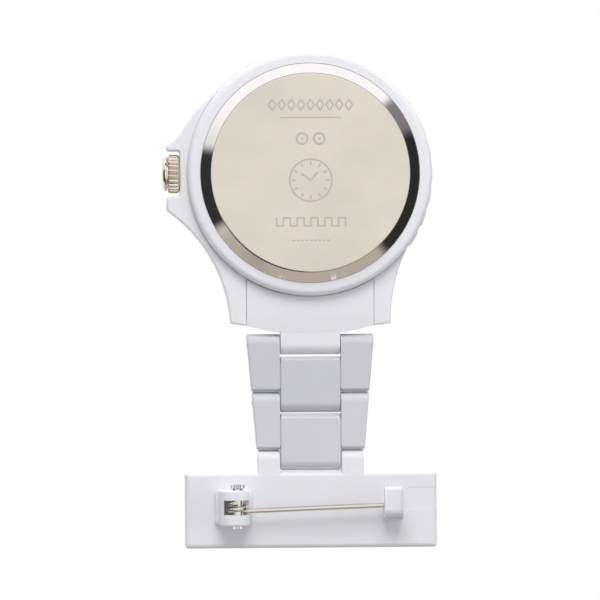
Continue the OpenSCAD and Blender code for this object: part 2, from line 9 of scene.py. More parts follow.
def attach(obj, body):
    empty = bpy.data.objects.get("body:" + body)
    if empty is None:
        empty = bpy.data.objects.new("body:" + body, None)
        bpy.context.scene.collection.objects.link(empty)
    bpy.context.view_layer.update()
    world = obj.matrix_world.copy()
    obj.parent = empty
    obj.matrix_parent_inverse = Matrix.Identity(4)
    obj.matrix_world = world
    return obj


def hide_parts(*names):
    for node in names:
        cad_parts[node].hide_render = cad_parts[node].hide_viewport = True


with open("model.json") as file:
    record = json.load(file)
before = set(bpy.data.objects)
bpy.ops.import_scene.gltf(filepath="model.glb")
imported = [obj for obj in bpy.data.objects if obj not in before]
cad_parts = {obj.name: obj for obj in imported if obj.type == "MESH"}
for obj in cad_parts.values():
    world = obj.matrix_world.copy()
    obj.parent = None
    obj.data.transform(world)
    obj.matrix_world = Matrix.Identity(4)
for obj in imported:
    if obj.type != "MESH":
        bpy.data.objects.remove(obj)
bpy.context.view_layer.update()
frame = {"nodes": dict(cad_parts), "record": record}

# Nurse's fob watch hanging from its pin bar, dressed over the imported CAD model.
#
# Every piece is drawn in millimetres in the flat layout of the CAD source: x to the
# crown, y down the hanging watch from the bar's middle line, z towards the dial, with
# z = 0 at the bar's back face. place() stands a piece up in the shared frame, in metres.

# ---------- sizes, in millimetres ----------

MM = 0.001
STAND = Matrix.Scale(MM, 4) @ Matrix(((1, 0, 0, 0), (0, 0, 1, 0), (0, -1, 0, 0), (0, 0, 0, 1)))
ALONG_X = Matrix(((0, 0, 1, 0), (1, 0, 0, 0), (0, 1, 0, 0), (0, 0, 0, 1)))
ALONG_Y = Matrix(((1, 0, 0, 0), (0, 0, -1, 0), (0, 1, 0, 0), (0, 0, 0, 1)))

BAR = (39.6, 11.9, 3.2)
HALF_T = BAR[2] / 2
PIN_Y = (7.85, 16.95, 26.05)
PIN_R = 0.5
BLOCK_W = 9.42
SLOT_W = 9.6
EARS_W = 16.7
BRACELET_W = 19.8
RIDGE = 0.26
RIDGE_Y = 6.13
RIDGE_Z = (0.8, 2.4)

# The needle's hinge block and catch, with y and z as in the layout
HINGE_Y = 0.55
FOOT_X = (9.25, 15.15)
EARS_X = (9.85, 14.55)
BLOCK_HALF = 2.8
BLOCK_TOP = -5.0
COIL_WINDOW = (-1.05, 1.25)
WINDOW_END = 13.86
CATCH_X = 12.7
CATCH_W = 2.9
CATCH_TOP = -4.4
CATCH_ROOF = -3.15
CATCH_WALL = 1.2

AXLE = (11.7, -3.75)
AXLE_R = 0.85
AXLE_HEAD_R = 1.1
AXLE_FLUTES = 9
WIRE_R = 0.41
COIL_R = 1.3
COIL_Y = HINGE_Y - 0.55
COIL_PITCH = 0.86
NEEDLE_Z = AXLE[1] + COIL_R
NEEDLE_TILT = math.radians(2.1)
NEEDLE_START = 2.7
NEEDLE_END = 25.7

CASE_Y = 52.9
CASE_R = 19.3
RIM_R = 19.2
LUG_GAP = 20.0
LUG_TIP = CASE_Y - 29.35
LUG_SEAM = CASE_Y - 28.95
CROWN_Z = 1.6
BACK_FLAT_R = 15.5
BACK_R = 17.2
BACK_OUT = -3.6
BEZEL_R = 19.75
GLASS_FRONT = 7.15
DIAL_FRONT = 3.95

# The time shown, as angles clockwise from twelve
HOUR_ANGLE = 304.8
MINUTE_ANGLE = 57.6
SECONDS_ANGLE = 210.0


# ---------- outlines ----------

def rounded(points, radii, steps=6):
    """The polygon with an arc at each corner. radii is one number, or one a corner."""
    if isinstance(radii, (int, float)):
        radii = [radii] * len(points)
    out = []
    for i, (corner, r) in enumerate(zip(points, radii)):
        p = Vector(corner)
        a = Vector(points[i - 1]) - p
        b = Vector(points[(i + 1) % len(points)]) - p
        if r <= 0 or a.length < 1e-6 or b.length < 1e-6:
            out.append(tuple(p))
            continue
        half = a.angle(b) / 2
        reach = min(r / math.tan(half), 0.499 * a.length, 0.499 * b.length)
        r = reach * math.tan(half)
        middle = p + (a.normalized() + b.normalized()).normalized() * r / math.sin(half)
        start, end = p + a.normalized() * reach - middle, p + b.normalized() * reach - middle
        turn = math.atan2(start.x * end.y - start.y * end.x, start.dot(end))
        for k in range(steps + 1):
            c, s = math.cos(turn * k / steps), math.sin(turn * k / steps)
            out.append((middle.x + c * start.x - s * start.y, middle.y + s * start.x + c * start.y))
    return out


def arc(centre, r, a0, a1, steps):
    """Points on a circle from angle a0 to a1, in degrees."""
    angles = [math.radians(a0 + (a1 - a0) * k / steps) for k in range(steps + 1)]
    return [(centre[0] + r * math.cos(a), centre[1] + r * math.sin(a)) for a in angles]


def inset(outline, distance):
    """An anticlockwise outline moved inwards by distance."""
    out = []
    for i, point in enumerate(outline):
        p = Vector(point)
        d1 = (p - Vector(outline[i - 1])).normalized()
        d2 = (Vector(outline[(i + 1) % len(outline)]) - p).normalized()
        n1, n2 = Vector((-d1.y, d1.x)), Vector((-d2.y, d2.x))
        p = p + (n1 + n2) * distance / max(0.3, 1 + n1.dot(n2))
        out.append((p.x, p.y))
    return out


def half_width(y):
    """Half of the bracelet's width, which grows towards the watch head."""
    grow = (BRACELET_W - EARS_W) / 2 / (PIN_Y[2] - PIN_Y[0])
    return EARS_W / 2 + grow * (y - PIN_Y[0])


# ---------- solids, as bmeshes in millimetres ----------

def skin(rings, closed=False, caps=True):
    """A tube through rings of equal length. closed joins the last ring to the first."""
    bm = bmesh.new()
    rows = [[bm.verts.new(p) for p in ring] for ring in rings]
    pairs = list(zip(rows, rows[1:]))
    if closed:
        pairs.append((rows[-1], rows[0]))
    for low, high in pairs:
        for k in range(len(low)):
            n = (k + 1) % len(low)
            bm.faces.new((low[k], low[n], high[n], high[k]))
    if caps and not closed:
        bm.faces.new(rows[0][::-1])
        bm.faces.new(rows[-1])
    return bm


def prism(points, z0, z1, r0=0.0, r1=None, radii=0, steps=5):
    """An anticlockwise polygon between two heights, with its edges rounded by r0 below and
    r1 above, and its upright corners by radii, one number or one a corner."""
    r1 = r0 if r1 is None else r1
    if isinstance(radii, (int, float)):
        radii = [radii] * len(points)

    def corner(i, depth):
        a, b, c = (Vector(points[k % len(points)]) for k in (i - 1, i, i + 1))
        if not radii[i]:
            return 0
        outward = (b - a).cross(c - b) > 0
        return max(radii[i] - depth, 0.06) if outward else radii[i] + depth

    def ring(depth, z):
        corners = [corner(i, depth) for i in range(len(points))]
        return [(x, y, z) for x, y in rounded(inset(points, depth), corners)]

    turns = [math.pi / 2 * k / steps for k in range(steps + 1)]
    low = [ring(r0 * (1 - math.sin(a)), z0 + r0 * (1 - math.cos(a))) for a in turns]
    high = [ring(r1 * (1 - math.sin(a)), z1 - r1 * (1 - math.cos(a))) for a in turns[::-1]]
    return skin((low if r0 else low[-1:]) + (high if r1 else high[:1]))


def lathe(profile, segments=180, radius=None):
    """Turns a closed (radius, height) profile about z. radius(r, z, angle) may reshape it."""
    radius = radius or (lambda r, z, a: r)
    rings = []
    for r, z in profile:
        ring = []
        for k in range(segments):
            a = 2 * math.pi * k / segments
            d = radius(r, z, a)
            ring.append((d * math.cos(a), d * math.sin(a), z))
        rings.append(ring)
    bm = skin(rings, closed=True)
    bmesh.ops.remove_doubles(bm, verts=bm.verts, dist=1e-5)
    return bm


def sweep(path, radii, sides=20):
    """A round wire along path, with one radius a point."""
    points = [Vector(p) for p in path]
    rings, side = [], None
    for i, p in enumerate(points):
        along = (points[min(i + 1, len(points) - 1)] - points[max(i - 1, 0)]).normalized()
        side = side or along.orthogonal()
        side = (side - along * side.dot(along)).normalized()
        other = along.cross(side)
        turns = [2 * math.pi * k / sides for k in range(sides)]
        rings.append([p + (side * math.cos(t) + other * math.sin(t)) * radii[i] for t in turns])
    return skin(rings)


def rod_x(r, x0, x1, y, z, edge=0.0, segments=48):
    """A rod along x at (y, z)."""
    bm = prism(arc((0, 0), r, 0, 360 * (1 - 1 / segments), segments - 1), x0, x1, edge, steps=3)
    bm.transform(Matrix.Translation((0, y, z)) @ ALONG_X)
    return bm


def box(x0, x1, y0, y1, z0, z1, corner=0.0, edge=0.0):
    """A block with rounded upright corners and rounded edges."""
    return prism([(x0, y0), (x1, y0), (x1, y1), (x0, y1)], z0, z1, edge, radii=corner)


def moved(bm, matrix):
    bm.transform(matrix)
    return bm


def combine(target, tool, operation, tangled=False):
    """target joined with tool, or with it cut out. Both bmeshes are used up. tangled says
    that the tool's own solids cross each other."""
    objects = []
    for bm in (target, tool):
        bmesh.ops.recalc_face_normals(bm, faces=bm.faces)
        mesh = bpy.data.meshes.new("work")
        bm.to_mesh(mesh)
        bm.free()
        for _ in range(3):
            mesh.materials.append(None)
        objects.append(bpy.data.objects.new("work", mesh))
        bpy.context.scene.collection.objects.link(objects[-1])
    modifier = objects[0].modifiers.new("cut", "BOOLEAN")
    modifier.operation = operation
    modifier.solver = "EXACT"
    modifier.use_self = tangled
    modifier.object = objects[1]
    graph = bpy.context.evaluated_depsgraph_get()
    result = bpy.data.meshes.new_from_object(objects[0].evaluated_get(graph))
    out = bmesh.new()
    out.from_mesh(result)
    for obj in objects:
        bpy.data.objects.remove(obj)
    bpy.data.meshes.remove(result)
    return out


def union(*solids):
    out = solids[0]
    for solid in solids[1:]:
        out = combine(out, solid, "UNION")
    return out


def cut(solid, *tools):
    for tool in tools:
        solid = combine(solid, tool, "DIFFERENCE")
    return solid


def merge(*solids):
    """Separate closed solids kept in one bmesh."""
    out = solids[0]
    for solid in solids[1:]:
        mesh = bpy.data.meshes.new("work")
        solid.to_mesh(mesh)
        solid.free()
        out.from_mesh(mesh)
        bpy.data.meshes.remove(mesh)
    return out


# ---------- materials ----------

def material(name, colour, rough, metal=0.0, spread=0.06, grain=900.0, bump=0.02, tint=0.03,
             stretch=(1, 1, 1), through=0.0, ior=1.5, soft=0.0):
    """A Principled finish whose roughness, colour and surface vary with fine noise.

    grain is the noise scale per metre, spread and tint how far roughness and brightness
    vary, bump the depth of the surface grain in hundredths of a millimetre, and stretch
    the noise's scale along the frame's axes, for a brushed finish. through is how far
    light passes through it, and soft how far it scatters inside.
    """
    mat = bpy.data.materials.new(name)
    mat.use_nodes = True
    nodes, links = mat.node_tree.nodes, mat.node_tree.links
    shader = nodes["Principled BSDF"]
    shader.inputs["Metallic"].default_value = metal
    shader.inputs["IOR"].default_value = ior
    shader.inputs["Transmission Weight"].default_value = through
    shader.inputs["Subsurface Weight"].default_value = soft
    shader.inputs["Subsurface Scale"].default_value = 0.0006

    place_at = nodes.new("ShaderNodeTexCoord")
    scale = nodes.new("ShaderNodeMapping")
    scale.inputs["Scale"].default_value = stretch
    links.new(place_at.outputs["Object"], scale.inputs["Vector"])

    fine = nodes.new("ShaderNodeTexNoise")
    fine.inputs["Scale"].default_value = grain
    fine.inputs["Detail"].default_value = 4
    links.new(scale.outputs["Vector"], fine.inputs["Vector"])
    broad = nodes.new("ShaderNodeTexNoise")
    broad.inputs["Scale"].default_value = grain / 9
    broad.inputs["Detail"].default_value = 3
    links.new(scale.outputs["Vector"], broad.inputs["Vector"])

    polish = nodes.new("ShaderNodeMapRange")
    polish.inputs["To Min"].default_value = max(0.0, rough - spread)
    polish.inputs["To Max"].default_value = rough + spread
    links.new(broad.outputs["Fac"], polish.inputs["Value"])
    links.new(polish.outputs["Result"], shader.inputs["Roughness"])

    shade = nodes.new("ShaderNodeMix")
    shade.data_type = "RGBA"
    shade.inputs["A"].default_value = (*[c * (1 - tint) for c in colour], 1)
    shade.inputs["B"].default_value = (*[min(1, c * (1 + tint)) for c in colour], 1)
    links.new(broad.outputs["Fac"], shade.inputs["Factor"])
    links.new(shade.outputs["Result"], shader.inputs["Base Color"])

    surface = nodes.new("ShaderNodeBump")
    surface.inputs["Strength"].default_value = 0.5
    surface.inputs["Distance"].default_value = bump * 1e-5
    links.new(fine.outputs["Fac"], surface.inputs["Height"])
    links.new(surface.outputs["Normal"], shader.inputs["Normal"])
    return mat


FINISH = {
    "white_plastic": material("white_plastic", (0.86, 0.858, 0.89), 0.34, soft=0.15),
    "link_plastic": material("link_plastic", (0.69, 0.69, 0.72), 0.34, soft=0.15),
    # A darker copy of link_plastic whose extra darkness is painted shade, for the link near the
    # head.
    "link_plastic_painted_shade": material("link_plastic_painted_shade", (0.64, 0.64, 0.68), 0.34, soft=0.15),
    "bezel_plastic": material("bezel_plastic", (0.86, 0.86, 0.88), 0.36, soft=0.15),
    "back_steel": material("back_steel", (0.73, 0.68, 0.565), 0.30, 1.0, 0.05, 1100, 0.05, 0.14,
                           (0.6, 1, 1)),
    "polished_steel": material("polished_steel", (0.78, 0.74, 0.68), 0.085, 1.0, 0.03, 900, 0.04,
                               0.04),
    "bright_steel": material("bright_steel", (0.76, 0.75, 0.73), 0.12, 1.0, 0.04, 1500, 0.03),
    "spring_steel": material("spring_steel", (0.72, 0.69, 0.60), 0.12, 1.0, 0.05, 1500, 0.03),
    "crown_metal": material("crown_metal", (0.80, 0.74, 0.62), 0.12, 1.0, 0.05, 1500, 0.05),
    "crystal_glass": material("crystal_glass", (0.97, 0.98, 1.0), 0.01, 0.0, 0.005, 600, 0.0,
                              0.0, through=1.0, ior=1.45),
    "clear_nylon": material("clear_nylon", (0.86, 0.86, 0.82), 0.45),
    "black_rubber": material("black_rubber", (0.02, 0.02, 0.02), 0.7, spread=0.1, bump=0.2),
    "ring_plastic": material("ring_plastic", (0.82, 0.82, 0.82), 0.5),
    "holder_plastic": material("holder_plastic", (0.72, 0.72, 0.70), 0.5, bump=0.1),
    "dial_enamel": material("dial_enamel", (0.86, 0.86, 0.84), 0.45, tint=0.015),
    "black_hand": material("black_hand", (0.012, 0.012, 0.012), 0.35, tint=0.2),
    "red_hand": material("red_hand", (0.55, 0.015, 0.012), 0.35, tint=0.1),
    "brass": material("brass", (0.75, 0.53, 0.19), 0.28, 1.0, 0.08, 1800, 0.1, 0.06),
    "plated_bridge": material("plated_bridge", (0.68, 0.66, 0.61), 0.3, 1.0, 0.06, 900, 0.1,
                              0.05, (0.1, 1, 1)),
    "cell_steel": material("cell_steel", (0.70, 0.70, 0.69), 0.3, 1.0, 0.06, 900, 0.1),
    "insulator_film": material("insulator_film", (0.72, 0.35, 0.05), 0.4, tint=0.08),
    "board_green": material("board_green", (0.02, 0.16, 0.06), 0.4, tint=0.15, bump=0.2),
    "black_resin": material("black_resin", (0.02, 0.02, 0.02), 0.3, tint=0.2, bump=0.2),
    "copper_wire": material("copper_wire", (0.50, 0.16, 0.04), 0.35, 0.4, 0.06, 1500, 0.5, 0.15,
                            (1, 1, 12)),
    "soft_iron": material("soft_iron", (0.45, 0.45, 0.45), 0.4, 1.0, 0.08, 1200, 0.2, 0.08),
    "magnet": material("magnet", (0.16, 0.16, 0.17), 0.45, 0.6, 0.08, 1500, 0.3, 0.1),
    "etched_steel": material("etched_steel", (0.60, 0.555, 0.46), 0.45, 1.0, 0.08, 2500, 0.6, 0.1),
    "dial_print": material("dial_print", (0.015, 0.015, 0.018), 0.4, tint=0.2),
    "mark_paint": material("mark_paint", (0.30, 0.31, 0.33), 0.45, tint=0.08),
}


# ---------- pieces ----------

def place(name, bm, finish, body, nodes=(), extra=(), crisp=32, head=False):
    """Stands a solid up as a piece of that finish, rides it on its body and stands it in
    for CAD nodes. extra lists the finishes of faces with a higher material index, crisp is
    the angle of an edge that stays sharp, and head says that the solid is drawn about the
    middle of the case."""
    if head:
        bm.transform(Matrix.Translation((0, CASE_Y, 0)))
    bmesh.ops.recalc_face_normals(bm, faces=bm.faces)
    bm.transform(STAND)
    mesh = bpy.data.meshes.new(name)
    bm.to_mesh(mesh)
    bm.free()
    for key in (finish, *extra):
        mesh.materials.append(FINISH[key])
    mesh.polygons.foreach_set("use_smooth", [True] * len(mesh.polygons))
    mesh.set_sharp_from_angle(angle=math.radians(crisp))
    obj = bpy.data.objects.new(name, mesh)
    bpy.context.scene.collection.objects.link(obj)
    weigh = obj.modifiers.new("even_normals", "WEIGHTED_NORMAL")
    weigh.keep_sharp = True
    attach(obj, body)
    if nodes:
        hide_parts(*nodes)
    return obj


# ---------- pin bar ----------

def pin_bar():
    """Bar with its two ears, the needle's hinge block and the catch, in one moulding."""
    w, h, t = BAR
    bar = box(-w / 2, w / 2, -h / 2, h / 2, 0, t, 0.5, 0.75)
    slot_ridge = box(-SLOT_W / 2 - 0.1, SLOT_W / 2 + 0.1, 5, RIDGE_Y, *RIDGE_Z)
    solids = [bar, slot_ridge]
    for side in (-1, 1):
        y = PIN_Y[0]
        profile = rounded([(2, 0.02), (y + HALF_T, 0.02), (y + HALF_T, t - 0.02), (2, t - 0.02)],
                          [0, 1.57, 1.57, 0], 10)
        ear = prism(profile, 0, (EARS_W - SLOT_W) / 2, 0.3)
        x = SLOT_W / 2 if side > 0 else -EARS_W / 2
        solids.append(moved(ear, Matrix.Translation((x, 0, 0)) @ ALONG_X))
    solids += [hinge_block(), needle_catch()]
    out = union(*solids)
    axle_hole = moved(prism(arc((AXLE[0], AXLE[1]), AXLE_R + 0.01, 0, 352.5, 47), -6, 6), ALONG_Y)
    band = box(-21, -15.2, 0.1, 3.55, -1, 0.07)
    return cut(out, axle_hole, band, rod_x(PIN_R + 0.01, -9, 9, PIN_Y[0], HALF_T))


def hinge_block():
    """Foot and two ears round the needle's axle, with a window for the coil."""
    foot = box(*FOOT_X, HINGE_Y - BLOCK_HALF, HINGE_Y + BLOCK_HALF, -1, 0.6, 0.7, 0.4)
    left, right = EARS_X
    outline = rounded([(left, BLOCK_TOP), (right, BLOCK_TOP), (right, 0.2), (left, 0.2)],
                      [1.9, 1.9, 0, 0], 10)
    ears = moved(prism(outline, -HINGE_Y - BLOCK_HALF, BLOCK_HALF - HINGE_Y, 0.35), ALONG_Y)
    low, high = COIL_WINDOW
    window = box(8, WINDOW_END, HINGE_Y + low, HINGE_Y + high, -8, -1.2)
    return cut(union(foot, ears), window)


def needle_catch():
    """Hook over the needle's tip, open towards the watch head."""
    y0, y1, root = HINGE_Y - 1.6, HINGE_Y + 3.2, 1.2
    outline = [(y0 + CATCH_WALL, root), (y0 + CATCH_WALL, CATCH_ROOF), (y1, CATCH_ROOF),
               (y1, CATCH_TOP), (y0, CATCH_TOP), (y0, root)]
    hook = prism(outline, 0, CATCH_W, 0.5, 0.3, [0, 0.3, 0.5, 0.7, 1.3, 0])
    return moved(hook, Matrix.Translation((-CATCH_X - CATCH_W / 2, 0, 0)) @ ALONG_X)


def axle_rivet():
    """The needle's axle, with fluted ends and a head on its end towards the bracelet."""
    def fluted(r, z, a):
        outside = z < -3 or z > 2.82
        return r - 0.13 * (1 + math.cos(AXLE_FLUTES * a + 0.5)) * outside

    profile = rounded([(0, -3.7), (AXLE_HEAD_R, -3.7), (AXLE_HEAD_R, -3.1), (AXLE_R, -3.1),
                       (AXLE_R, -2.99), (AXLE_R, 2.81), (AXLE_R, 2.83), (AXLE_R, 3.35),
                       (0, 3.35)],
                      [0, 0.1, 0.05, 0, 0, 0, 0, 0.1, 0], 4)
    bm = moved(lathe(profile, 132, fluted), ALONG_Y)
    return moved(bm, Matrix.Translation((AXLE[0], HINGE_Y, AXLE[1])))


def coil_path():
    """Short straight leg, then one and a half turns round the axle."""
    leg = NEEDLE_START - 0.03
    path = [(AXLE[0] - leg, COIL_Y + leg * math.tan(NEEDLE_TILT), NEEDLE_Z)]
    for k in range(73):
        a = 2 * math.pi * k / 48
        path.append((AXLE[0] + COIL_R * math.sin(a), COIL_Y + COIL_PITCH * k / 48,
                     AXLE[1] + COIL_R * math.cos(a)))
    return path


def needle_piece():
    """Straight wire from the coil's leg, ground to a point."""
    path, radii = [], []
    stations = [NEEDLE_START, 23.0, 23.6, 24.2, 24.8, 25.3, 25.6, NEEDLE_END]
    widths = [1, 1, 0.9, 0.72, 0.5, 0.3, 0.17, 0.06]
    for s, w in zip(stations, widths):
        path.append((AXLE[0] - s * math.cos(NEEDLE_TILT), COIL_Y + s * math.sin(NEEDLE_TILT),
                     NEEDLE_Z))
        radii.append(WIRE_R * w)
    return sweep(path, radii, 32)


def build_bar():
    place("bar_moulding", pin_bar(), "white_plastic", "pin_bar", ["pin_bar"])
    place("axle_rod", axle_rivet(), "bright_steel", "pin_bar", ["needle_axle"])
    path = coil_path()
    place("spring_coil", sweep(path, [WIRE_R] * len(path), 24), "spring_steel", "needle_spring",
          ["needle_spring"], crisp=60)
    place("needle_wire", needle_piece(), "spring_steel", "needle", ["needle"], crisp=60)
    for i, body in enumerate(("pin_bar", "link_2", "link_1")):
        x = half_width(PIN_Y[i]) + 0.08
        place(f"pin_rod_{i + 1}", rod_x(PIN_R, -x, x, PIN_Y[i], HALF_T, 0.08), "bright_steel",
              body, [f"hinge_pin_{i + 1}"])


# ---------- bracelet ----------

def arm(y0, y1, side):
    """One outer arm from y0 to the round end about the pin at y1."""
    t = BAR[2]
    profile = rounded([(y0, 0), (y1 + HALF_T, 0), (y1 + HALF_T, t), (y0, t),
                       (y0, RIDGE_Z[1]), (y0 - RIDGE, RIDGE_Z[1]), (y0 - RIDGE, RIDGE_Z[0]),
                       (y0, RIDGE_Z[0])], [0.35, 1.58, 1.58, 0.35, 0, 0, 0, 0], 10)
    width = half_width((y0 + y1) / 2) - SLOT_W / 2
    bm = moved(prism(profile, 0, width, 0.12, 0.3), ALONG_X)
    for v in bm.verts:
        reach = half_width(v.co.y) - SLOT_W / 2
        v.co.x = side * (SLOT_W / 2 + v.co.x * reach / width)
    return bm


def block(y0, y1, ridge):
    """Middle block from the round end about the pin at y0 to the ridged edge at y1."""
    t = BAR[2]
    low, high = RIDGE_Z
    profile = rounded([(y0 - HALF_T, 0), (y1, 0), (y1, low), (y1 + ridge, low),
                       (y1 + ridge, high), (y1, high), (y1, t), (y0 - HALF_T, t)],
                      [1.58, 0.4, 0, 0, 0, 0, 0.4, 1.58], 10)
    return moved(prism(profile, -BLOCK_W / 2, BLOCK_W / 2, 0.25), ALONG_X)


def link(y0, y1, ridge):
    """H-shaped link: a block about the pin at y0 and two arms to the pin at y1."""
    arm_start, block_end = y0 + HALF_T + 0.3, y1 - HALF_T - 0.6
    web = box(-half_width(arm_start) + 1, half_width(arm_start) - 1, arm_start + 0.4,
              block_end - 0.5, 0.25, BAR[2] - 0.25)
    out = union(block(y0, block_end, ridge), web, arm(arm_start, y1, 1), arm(arm_start, y1, -1))
    return cut(out, rod_x(PIN_R + 0.05, -7, 7, y0, HALF_T),
               rod_x(PIN_R + 0.01, -12, 12, y1, HALF_T))


def end_link():
    """Fills the space between the lugs, and slopes down to a tongue for the last pin."""
    side = LUG_GAP / 2 - 0.01
    turn = math.degrees(math.acos(side / (CASE_R + 0.05)))
    hollow = arc((0, CASE_Y), CASE_R + 0.05, -turn, turn - 180, 40)
    shoulder = PIN_Y[2] + HALF_T + 0.3
    plan = [(-side, CASE_Y - LUG_SEAM), (-5.6, shoulder), (5.6, shoulder),
            (side, CASE_Y - LUG_SEAM), *hollow]
    body = prism(plan, -0.3, 3.5, 0.2)
    t = BAR[2]
    y = PIN_Y[2] - HALF_T
    profile = rounded([(y, 0), (y + 7, 0), (y + 7, t), (y, t)], [1.58, 0, 0, 1.58], 10)
    tongue = moved(prism(profile, -BLOCK_W / 2, BLOCK_W / 2, 0.2), ALONG_X)
    slope = prism([(shoulder - 1, -1), (shoulder + 2.6, -1), (shoulder + 2.6, -0.3),
                   (shoulder, -0.02), (shoulder - 1, -0.02)], -12, 12)
    return cut(union(body, tongue), moved(slope, ALONG_X),
               rod_x(PIN_R + 0.05, -7, 7, PIN_Y[2], HALF_T))


def build_bracelet():
    place("link_near_bar", link(PIN_Y[0], PIN_Y[1], 0.43), "link_plastic", "link_2", ["link_2"])
    # The link near the head takes the darker copy of the link plastic: painted shade, not a
    # different plastic.
    place("link_near_head", link(PIN_Y[1], PIN_Y[2], 0.25), "link_plastic_painted_shade", "link_1",
          ["link_1"])
    place("end_link_moulding", end_link(), "white_plastic", "watch_head", ["end_link"])


# ---------- watch head, drawn about the middle of the case ----------

def crossing(centre, r, y):
    """The larger x at height y on a circle."""
    return centre[0] + math.sqrt(r * r - (y - centre[1]) ** 2)


def case_plan():
    """Plan of the case's middle with y towards the bar, and the radius of each corner:
    round, with lugs and guards."""
    crown_flank, crown_flank_r = (35.7, CASE_Y - 28.07), 23.2
    far_flank, far_flank_r = (-38.25, CASE_Y - 29.86), 25.56
    guard = 22.45

    def on_crown_flank(y):
        return crown_flank[0] - math.sqrt(crown_flank_r ** 2 - (y - crown_flank[1]) ** 2)

    steps = 24
    a, b = LUG_TIP, 5.79
    crown_side = [(on_crown_flank(a + (b - a) * k / steps), a + (b - a) * k / steps)
                  for k in range(steps + 1)]
    a, b = 8.05, LUG_TIP
    far_side = [(crossing(far_flank, far_flank_r, a + (b - a) * k / steps),
                 a + (b - a) * k / steps) for k in range(steps + 1)]
    gap = math.degrees(math.acos(LUG_GAP / 2 / CASE_R))
    between = arc((0, 0), CASE_R, 180 - gap, gap, 40)
    recess = [(guard, 3.55), (20.4, 3.55), (20.4, -3.55), (guard, -3.55), (guard, -4.4),
              (20.9, -5.6), (17.6, -10.2)]
    recess_radii = [0.55, 0.3, 0.3, 0.55, 0.55, 3, 3]
    start = math.degrees(math.atan2(-13.4, 13.9))
    end = math.degrees(math.atan2(8.05, -17.55)) - 360
    round_side = arc((0, 0), CASE_R, start, end + 1, 110)
    outline = [*far_side, (-LUG_GAP / 2, LUG_SEAM), *between, (LUG_GAP / 2, LUG_SEAM),
               *crown_side, *recess, *round_side]
    radii = [0] * (len(outline) - len(recess) - len(round_side)) + recess_radii
    return outline, radii + [0] * len(round_side)


def case_body():
    """Case middle with lugs and guards, rim round the steel back and neck of the bezel."""
    plan, radii = case_plan()
    middle = prism([(x, -y) for x, y in plan], -0.3, 4.2, 0.35, 0.4, radii)
    seam = lathe([(19.1, -0.6), (19.38, -0.6), (19.32, -0.12), (19.1, -0.12)])
    rim = lathe(rounded([(14, -2), (RIM_R, -2), (RIM_R, 1), (14, 1)], [0, 0.95, 0, 0], 10))
    neck = lathe([(14, 3), (17.6, 3), (17.6, 6.6), (17.5, 6.7), (14, 6.7)])
    seat = BACK_R + 0.04
    inside = lathe([(0, -3), (seat, -3), (seat, -1.25), (16.43, -1.25), (16.43, 0), (15.9, 0),
                    (15.9, 5.75), (16.92, 5.75), (16.92, 8), (0, 8)])
    tube_hole = rod_x(1.06, 12, 24, 0, CROWN_Z)
    return cut(union(cut(middle, seam), rim, neck), inside, tube_hole)


def bar_mark(x, y, length, width, angle=0.0):
    """Cutter for one engraved stroke centred at (x, y)."""
    h, w = length / 2, width / 2
    outline = rounded([(-h, -w), (h, -w), (h, w), (-h, w)], w * 0.98, 4)
    bm = prism(outline, BACK_OUT - 0.2, BACK_OUT + 0.05)
    bm.transform(Matrix.Translation((x, y, 0)) @ Matrix.Rotation(math.radians(angle), 4, "Z"))
    return bm


def ring_mark(x, y, r, width):
    """Cutter for one engraved ring."""
    z0, z1 = BACK_OUT - 0.2, BACK_OUT + 0.05
    bm = lathe([(r - width / 2, z0), (r + width / 2, z0), (r + width / 2, z1),
                (r - width / 2, z1)], 72)
    bm.transform(Matrix.Translation((x, y, 0)))
    return bm


def engraving():
    """Plain ornament for the steel back: lozenges, a clock face, a square wave and rules."""
    marks = []
    for i in range(-4, 5):
        for side in (-1, 1):
            for half in (-1, 1):
                marks.append(bar_mark(i * 1.5 + side * 0.3, 10.6 + half * 0.42, 1.05, 0.22,
                                      90 + side * half * 35))
    marks.append(bar_mark(0, 8.6, 9.6, 0.18))
    for i in (-1, 1):
        marks.append(ring_mark(i * 1.35, 5.3, 0.85, 0.3))
        marks.append(bar_mark(i * 1.35, 5.3, 0.42, 0.4))

    middle, track = -1.2, 2.65
    marks.append(ring_mark(0, middle, 3.3, 0.24))
    for i in range(12):
        a = math.radians(30 * i)
        marks.append(bar_mark(track * math.sin(a), middle + track * math.cos(a), 0.7, 0.24,
                              90 - 30 * i))
    marks.append(bar_mark(0.75, -0.7, 1.9, 0.26, 34))
    marks.append(bar_mark(-0.55, -0.55, 1.7, 0.26, 130))

    wave, step = -7.7, 1.08
    for i in range(-5, 6):
        marks.append(bar_mark(i * step, wave, 1.5, 0.24, 90))
        if i < 5:
            joint = wave + (0.63 if i % 2 else -0.63)
            marks.append(bar_mark((i + 0.5) * step, joint, 1.3, 0.24))
    for i in range(-4, 5):
        marks.append(bar_mark(i * 0.68, -10.6, 0.42, 0.24))
    for bm in marks:
        for f in bm.faces:
            f.material_index = 1
    return marks


def steel_back():
    """Snap back with a brushed flat, a polished slope and engraved marks."""
    flat, out = BACK_FLAT_R, BACK_OUT
    profile = rounded([(0, out), (flat, out), (BACK_R, -2), (BACK_R, -1.25), (16.4, -1.25),
                       (16.4, -0.2), (16, -0.2), (16, -1.6), (15.2, -3.1), (0, -3.1)],
                      [0, 0.5, 0.12, 0, 0, 0, 0, 0, 0.3, 0], 8)
    plate = lathe(profile, 240)
    for f in plate.faces:
        if f.calc_center_median().xy.length > flat:
            f.material_index = 2
    return combine(plate, merge(*engraving()), "DIFFERENCE", tangled=True)


